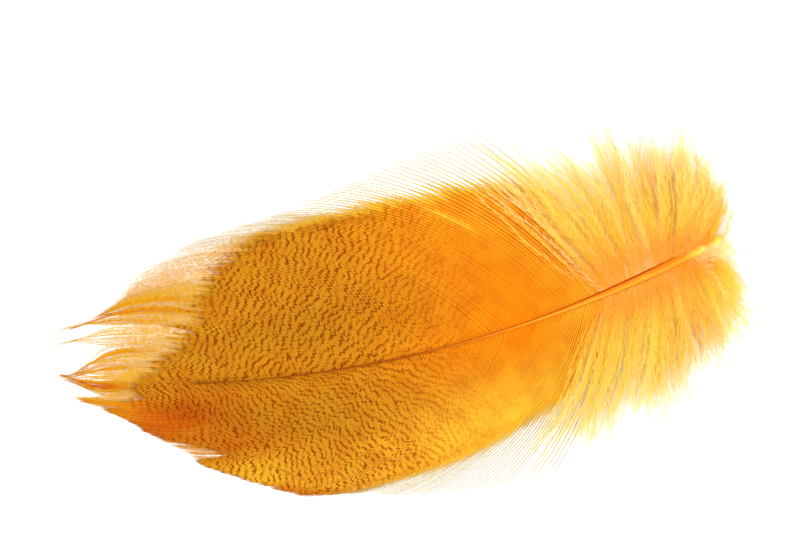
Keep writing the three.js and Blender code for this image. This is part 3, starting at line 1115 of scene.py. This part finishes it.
fluff = Finish("yellow_down", roughness=0.7, shine=0.05)
outer = fluff.value("outer")
fluff.paint(down_orange, [
    (fluff.ramp(outer, 0.08, 0.42), down_gold),
    (fluff.ramp(outer, 0.35, 1.0), down_yellow),
    (fluff.value("warm"), down_orange),
    # Painted light: low strands are painted paler against the shade of the strands above. Some strands are
    # also paler at random.
    (fluff.value("pale"), down_pale),
    (fluff.ramp(outer, 0.7, 1.0, 0.0, 0.5), down_pale),
    (fluff.times(fluff.value("own"), 0.2), down_orange),
])

# %% Draw the wisps of one side
WISPS = 44
STRANDS_PER_WISP = 8
BED_EVERY = 4
BED_LENGTH = 0.74
TUFT_FROM = 54.0
TUFT_TO = 68.0
# The down draws from a seed of its own, so a change to the vane leaves it as it is.
DOWN_SEED = 21
rng = np.random.default_rng(DOWN_SEED)


def draw_wisps():
    """Numbers for each wisp. Those of the bed have no height, throw or hook."""
    place = (np.arange(WISPS) + 0.5) / WISPS
    middle = blend(TUFT_FROM, TUFT_TO, place ** 0.85) + rng.normal(0.0, 0.25, WISPS)
    wisp = {
        "middle": middle, "length": rng.uniform(0.68, 0.95, WISPS), "layer": rng.random(WISPS),
        "throw": rng.normal(0.0, 0.9, WISPS), "phase": rng.uniform(0.0, 2.0 * np.pi, WISPS),
        "waves": rng.uniform(1.0, 2.2, WISPS), "hook": rng.normal(0.0, 1.4, WISPS),
    }
    free = 1.0 - (np.arange(WISPS) % BED_EVERY == 0)
    wisp.update({key: wisp[key] * free for key in ("layer", "throw", "hook")})
    wisp.update({"length": np.where(free, wisp["length"], BED_LENGTH), "free": free})
    return wisp


# %% How a strand of down sways
WAVE_SIZES = (0.2, 0.75)
FINE_WAVE = 0.13
FINE_WAVES = (3.5, 6.5)
WILD_SHARE = 0.16
WILD_WAVE = 0.5
WILD_WAVES = 3.0
FAN_SIZE = 0.85
HOOK_STARTS = (0.72, 1.02)


def sway(own, along, length):
    """Sideways way of each point off its arc, in mm, and which strands are wild and wavy."""
    count = len(length)
    slow = np.sin(2.0 * np.pi * own["waves"] * along + own["phase"])
    wave = blend(*WAVE_SIZES, own["free"]) * along * slow
    fine = rng.uniform(*FINE_WAVES, (count, 1)) * along + rng.random((count, 1))
    wave = wave + FINE_WAVE * smooth(along, 0.1, 0.5) * np.sin(2.0 * np.pi * fine)
    wild = rng.random((count, 1)) < WILD_SHARE
    loops = np.sin(2.0 * np.pi * WILD_WAVES * along + own["phase"])
    wave = wave + wild * WILD_WAVE * smooth(along, 0.5, 1.0) * loops
    part = np.clip(along / length, 0.0, 1.0)
    fan = rng.normal(0.0, FAN_SIZE, (count, 1)) * (np.sin(np.pi * part ** 0.8) + 0.8 * part ** 2)
    thrown = own["throw"] * along ** 1.4 + own["hook"] * smooth(along, *HOOK_STARTS) ** 2
    return wave + fan + thrown, wild


# %% Lay the strands of one side
STRAND_RINGS = 18
STRAND_LEAST_HEIGHT = 0.08
STRAND_STATIONS = (50.5, 68.6)
STRAND_SPREADS = (1.1, 0.35)
STRAND_LENGTHS = (0.78, 1.0)
LOFT = 2.0
LOFT_AT_ENDS = 1.1
LOWEST_LOFT = 0.3
UNEVEN_LOFT = 0.25


def lay_down(side):
    """Paths of the downy strands on one side, in wisps that cling together."""
    own = {key: np.repeat(value, STRANDS_PER_WISP)[:, None] for key, value in draw_wisps().items()}
    count = WISPS * STRANDS_PER_WISP
    spread = blend(*STRAND_SPREADS, own["free"]) * rng.standard_normal((count, 1))
    station = side * np.clip(own["middle"] + spread, *STRAND_STATIONS)
    length = own["length"] * rng.uniform(*STRAND_LENGTHS, (count, 1))
    along = np.linspace(0.0, 1.0, STRAND_RINGS)[None, :] * length
    paths = barb_points(station, along)
    aside, wild = sway(own, along, length)
    paths[..., :2] += sideways(paths) * aside[..., None]
    root_height = shaft_height(SHAFT_TIP_X + np.abs(station))
    rise = LOFT * own["layer"] + LOWEST_LOFT + rng.normal(0.0, UNEVEN_LOFT, (count, 1))
    end_height = LOWEST_LOFT + LOFT_AT_ENDS * own["layer"]
    paths[..., 2] = blend(root_height, end_height, along) + rise * np.sin(np.pi * along)
    paths[..., 2] = np.maximum(paths[..., 2], STRAND_LEAST_HEIGHT)
    return {"paths": paths, "along": along, "station": np.abs(station[:, 0]), "wild": wild[:, 0],
            "layer": own["layer"][:, 0], "free": own["free"][:, 0]}


# %% Ribs and barbules of downy strands
STRAND_PROFILE = np.array([(-1.0, -0.5), (1.0, -0.5), (0.0, 1.0)])
STRAND_SIDES = len(STRAND_PROFILE)
DOWN_STEPS = 2
RIB_HALF_WIDTHS = (0.036, 0.016)
DOWN_BARBULE_WIDTHS = (0.037, 0.02)
DOWN_SLANTS = (18.0, 50.0)
DOWN_BARBULE_TAPER = 0.6
RIB_MAP_SHARE = 0.3
BARBULE_MAP_START = 0.32


def grow_down_barbules(paths, barb, share, reach):
    total = len(barb)
    here, ahead, side = path_at(paths, barb, share)
    slant = np.radians(rng.uniform(*DOWN_SLANTS, total))
    roll = either_side(total, 0.6)
    size = reach[barb] * (1.0 - DOWN_BARBULE_TAPER * share) * rng.uniform(0.5, 1.2, total)
    strips = grow_strips(here, ahead, side, DOWN_STEPS, slant, roll, size,
                         blend(*DOWN_BARBULE_WIDTHS, share), rng.uniform(0.0, 0.5, total))
    strips[..., 2] = np.maximum(strips[..., 2], STRIP_LEAST_HEIGHT)
    return strips


def make_down(name, paths, along, barbules, reach, pale, warm):
    """Ribs and barbules of downy strands as one mesh. Reach, pale and warm have one number a strand."""
    count, rings = along.shape
    half = blend(*RIB_HALF_WIDTHS, along)
    ribs = sweep(paths, half, half, STRAND_PROFILE)
    barb = np.repeat(np.arange(count), barbules)
    share = rng.random(len(barb)) ** 1.2
    strips = grow_down_barbules(paths, barb, share, reach)
    points = np.concatenate([ribs.reshape(-1, 3), strips.reshape(-1, 3)])
    strip_faces = strip_quads(len(barb), DOWN_STEPS) + ribs[..., 0].size
    quads = np.concatenate([tube_quads(count, rings, STRAND_SIDES), strip_faces])
    flat = np.concatenate([tube_map(count, rings, STRAND_SIDES, RIB_MAP_SHARE),
                           strip_map(barb, share, count, DOWN_STEPS, BARBULE_MAP_START)])

    def on_points(of_ribs, of_strips):
        return np.concatenate([np.repeat(of_ribs, STRAND_SIDES), np.repeat(of_strips, DOWN_STEPS * 2)])

    strand = on_points(np.repeat(np.arange(count), rings), barb)
    outward = on_points(along.ravel(), share)
    values = {"outer": outward, "own": on_points(np.ones(count * rings), rng.random(len(barb))),
              "pale": pale[strand], "warm": warm[strand] * smooth(outward, 0.1, 0.5)}
    make_piece(name, points, quads, flat, values, fluff.material)


# %% Make the down of both sides
STRAND_BARBULES = 225
BARBULE_REACH = 1.45
WARM_WISPS = 0.3
WARM_STATIONS = (58.0, 62.0)
WARM_STRENGTH = 0.6
WILD_BARENESS = 0.7
LOW_STRAND_PAINTED_LIGHT = 0.75
STRAND_PALENESS = 0.35
SPARSE_STATIONS = (53.0, 60.0)
SPARSE_SHARES = {-1: 0.3, 1: 0.5}


def dress_down(name, side):
    laid = lay_down(side)
    station = laid["station"]
    warm = np.repeat(rng.random(WISPS) < WARM_WISPS, STRANDS_PER_WISP)
    warm = warm * smooth(station, *WARM_STATIONS) * WARM_STRENGTH
    sparse = (1.0 - smooth(station, *SPARSE_STATIONS)) * SPARSE_SHARES[side]
    reach = BARBULE_REACH * (1.0 - sparse) * (1.0 - WILD_BARENESS * laid["wild"])
    # Painted light: low strands, in the shade of those above, are painted paler, and bed strands a little.
    # Other strands are paler at random.
    low = (1.0 - smooth(laid["layer"], 0.0, 0.5)) * blend(0.2, 1.0, laid["free"])
    pale = np.maximum(STRAND_PALENESS * rng.random(len(station)) ** 2, LOW_STRAND_PAINTED_LIGHT * low)
    make_down(name, laid["paths"], laid["along"], STRAND_BARBULES, reach, pale, warm)


dress_down("down_upper", -1)
dress_down("down_lower", 1)

# %% [markdown]
# ## The afterfeather
# A small feather of its own grows where the quill enters the skin. Here it is only a pale tuft beside the
# quill's end. Copying a tuft of down would give it the wrong turn, so it has its own short arcs, and the
# ribs and barbules are made as the down's are.

# %% Lay the afterfeather
AFTER_STRANDS = 46
AFTER_HEADINGS = (-118.0, -176.0)
AFTER_TURNS = (-30.0, 45.0)
AFTER_LENGTHS = (3.0, 6.4)
AFTER_ROOTS_X = (40.4, 42.4)
AFTER_WAVE = 0.3
AFTER_WAVES = (1.0, 3.0)
AFTER_RISES = (-0.5, 1.4)


def lay_afterfeather():
    one_each = (AFTER_STRANDS, 1)
    share = rng.random(one_each)
    heading = np.radians(blend(*AFTER_HEADINGS, share))
    turn = np.radians(rng.uniform(*AFTER_TURNS, one_each))
    length = rng.uniform(*AFTER_LENGTHS, one_each) * blend(0.8, 1.0, share)
    along = np.linspace(0.0, 1.0, STRAND_RINGS)[None, :] * np.ones_like(heading)
    root_x = rng.uniform(*AFTER_ROOTS_X, one_each)
    bend = turn * along + 1e-4
    x = root_x - length * along * (np.sin(heading + bend) - np.sin(heading)) / bend
    y = shaft_bow(root_x) + length * along * (np.cos(heading) - np.cos(heading + bend)) / bend
    waves = rng.uniform(*AFTER_WAVES, one_each)
    curl = AFTER_WAVE * np.sin(2.0 * np.pi * waves * along + 6.0 * share)
    z = shaft_height(root_x) + rng.uniform(*AFTER_RISES, one_each) * along
    return np.stack([x + curl * along, y + curl * along, np.maximum(z, LEAST_HEIGHT)], axis=-1), along


# %% Make the afterfeather
AFTER_BARBULES = 130
AFTER_REACH = 1.2

after_paths, after_along = lay_afterfeather()
after_pale = rng.uniform(0.7, 1.0, AFTER_STRANDS)
make_down("afterfeather", after_paths, after_along, AFTER_BARBULES,
          np.full(AFTER_STRANDS, AFTER_REACH), after_pale, np.zeros(AFTER_STRANDS))
